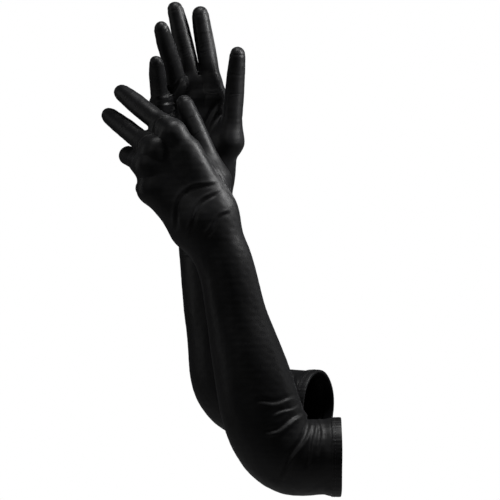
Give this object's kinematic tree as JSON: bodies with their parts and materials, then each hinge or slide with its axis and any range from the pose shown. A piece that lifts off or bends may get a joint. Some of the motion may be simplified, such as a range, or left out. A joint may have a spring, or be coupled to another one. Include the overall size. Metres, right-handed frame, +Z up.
{
  "type": "opera gloves",
  "caption": "Pair of long stretch satin opera gloves in worn shape: sleeves bent at the elbow, hinged finger stalls, folded cuff hems with elastic.",
  "frame": {"origin": "centre of the left glove's cuff opening", "axes": "+X out of the left cuff, along the upper arm; +Z up, from the elbow towards the fingertips; +Y from the back of the left hand towards its palm and on to the right glove"},
  "size_m": [0.239, 0.1756, 0.4929],
  "materials": {
    "satin": "black stretch satin, smooth, with a soft grey sheen at grazing angles",
    "satin_strip": "the same black stretch satin, cut across the grain",
    "satin_hem": "black stretch satin, folded and stitched",
    "elastic": "black woven elastic"
  },
  "bodies": {
    "left_glove": {"left_palm_panel": "satin", "left_back_panel": "satin", "left_cuff_hem": "satin_hem", "left_cuff_elastic": "elastic"},
    "right_glove": {"right_palm_panel": "satin", "right_back_panel": "satin", "right_cuff_hem": "satin_hem", "right_cuff_elastic": "elastic"},
    "left_index": {"left_index_palm_tab": "satin", "left_index_back_tab": "satin", "left_index_fourchettes": "satin_strip"},
    "left_middle": {"left_middle_palm_tab": "satin", "left_middle_back_tab": "satin", "left_middle_fourchettes": "satin_strip"},
    "left_ring": {"left_ring_palm_tab": "satin", "left_ring_back_tab": "satin", "left_ring_fourchettes": "satin_strip"},
    "left_little": {"left_little_palm_tab": "satin", "left_little_back_tab": "satin", "left_little_fourchettes": "satin_strip"},
    "left_thumb": {"left_thumb_palm_half": "satin", "left_thumb_back_half": "satin"},
    "right_index": {"right_index_palm_tab": "satin", "right_index_back_tab": "satin", "right_index_fourchettes": "satin_strip"},
    "right_middle": {"right_middle_palm_tab": "satin", "right_middle_back_tab": "satin", "right_middle_fourchettes": "satin_strip"},
    "right_ring": {"right_ring_palm_tab": "satin", "right_ring_back_tab": "satin", "right_ring_fourchettes": "satin_strip"},
    "right_little": {"right_little_palm_tab": "satin", "right_little_back_tab": "satin", "right_little_fourchettes": "satin_strip"},
    "right_thumb": {"right_thumb_palm_half": "satin", "right_thumb_back_half": "satin"}
  },
  "joints": [
    {"name": "right_glove_apart", "type": "slide", "parent": "left_glove", "child": "right_glove", "axis": [0, 1, 0], "range_m": [0, 0.2]},
    {"name": "left_index_bend", "type": "hinge", "parent": "left_glove", "child": "left_index", "pos_m": [-0.17971, 0.01375, 0.32991], "axis": [-0.6293, 0, -0.7771], "range_deg": [-36, 40]},
    {"name": "left_middle_bend", "type": "hinge", "parent": "left_glove", "child": "left_middle", "pos_m": [-0.19634, 0.01589, 0.31061], "axis": [-0.6225, 0, -0.7826], "range_deg": [-43, 35]},
    {"name": "left_ring_bend", "type": "hinge", "parent": "left_glove", "child": "left_ring", "pos_m": [-0.20155, 0.01868, 0.29214], "axis": [-0.4695, 0, -0.8829], "range_deg": [-55, 20]},
    {"name": "left_little_bend", "type": "hinge", "parent": "left_glove", "child": "left_little", "pos_m": [-0.19162, 0.02173, 0.26351], "axis": [-0.2588, 0, -0.9659], "range_deg": [-70, 10]},
    {"name": "left_thumb_bend", "type": "hinge", "parent": "left_glove", "child": "left_thumb", "pos_m": [-0.1314, 0.02503, 0.29572], "axis": [-0.8667, -0.4134, -0.2793], "range_deg": [-10, 25]},
    {"name": "right_index_bend", "type": "hinge", "parent": "right_glove", "child": "right_index", "pos_m": [-0.13054, 0.09274, 0.3829], "axis": [0.9882, 0, 0.153], "range_deg": [-8, 50]},
    {"name": "right_middle_bend", "type": "hinge", "parent": "right_glove", "child": "right_middle", "pos_m": [-0.1487, 0.09276, 0.38236], "axis": [0.969, 0, 0.247], "range_deg": [-8, 45]},
    {"name": "right_ring_bend", "type": "hinge", "parent": "right_glove", "child": "right_ring", "pos_m": [-0.16381, 0.08134, 0.37579], "axis": [0.8249, 0.287, 0.487], "range_deg": [-35, 20]},
    {"name": "right_little_bend", "type": "hinge", "parent": "right_glove", "child": "right_little", "pos_m": [-0.18079, 0.07628, 0.35603], "axis": [0.7957, 0.3838, 0.4685], "range_deg": [-40, 20]},
    {"name": "right_thumb_bend", "type": "hinge", "parent": "right_glove", "child": "right_thumb", "pos_m": [-0.10695, 0.07763, 0.33688], "axis": [0.8093, -0.568, -0.1495], "range_deg": [-10, 25]}
  ]
}
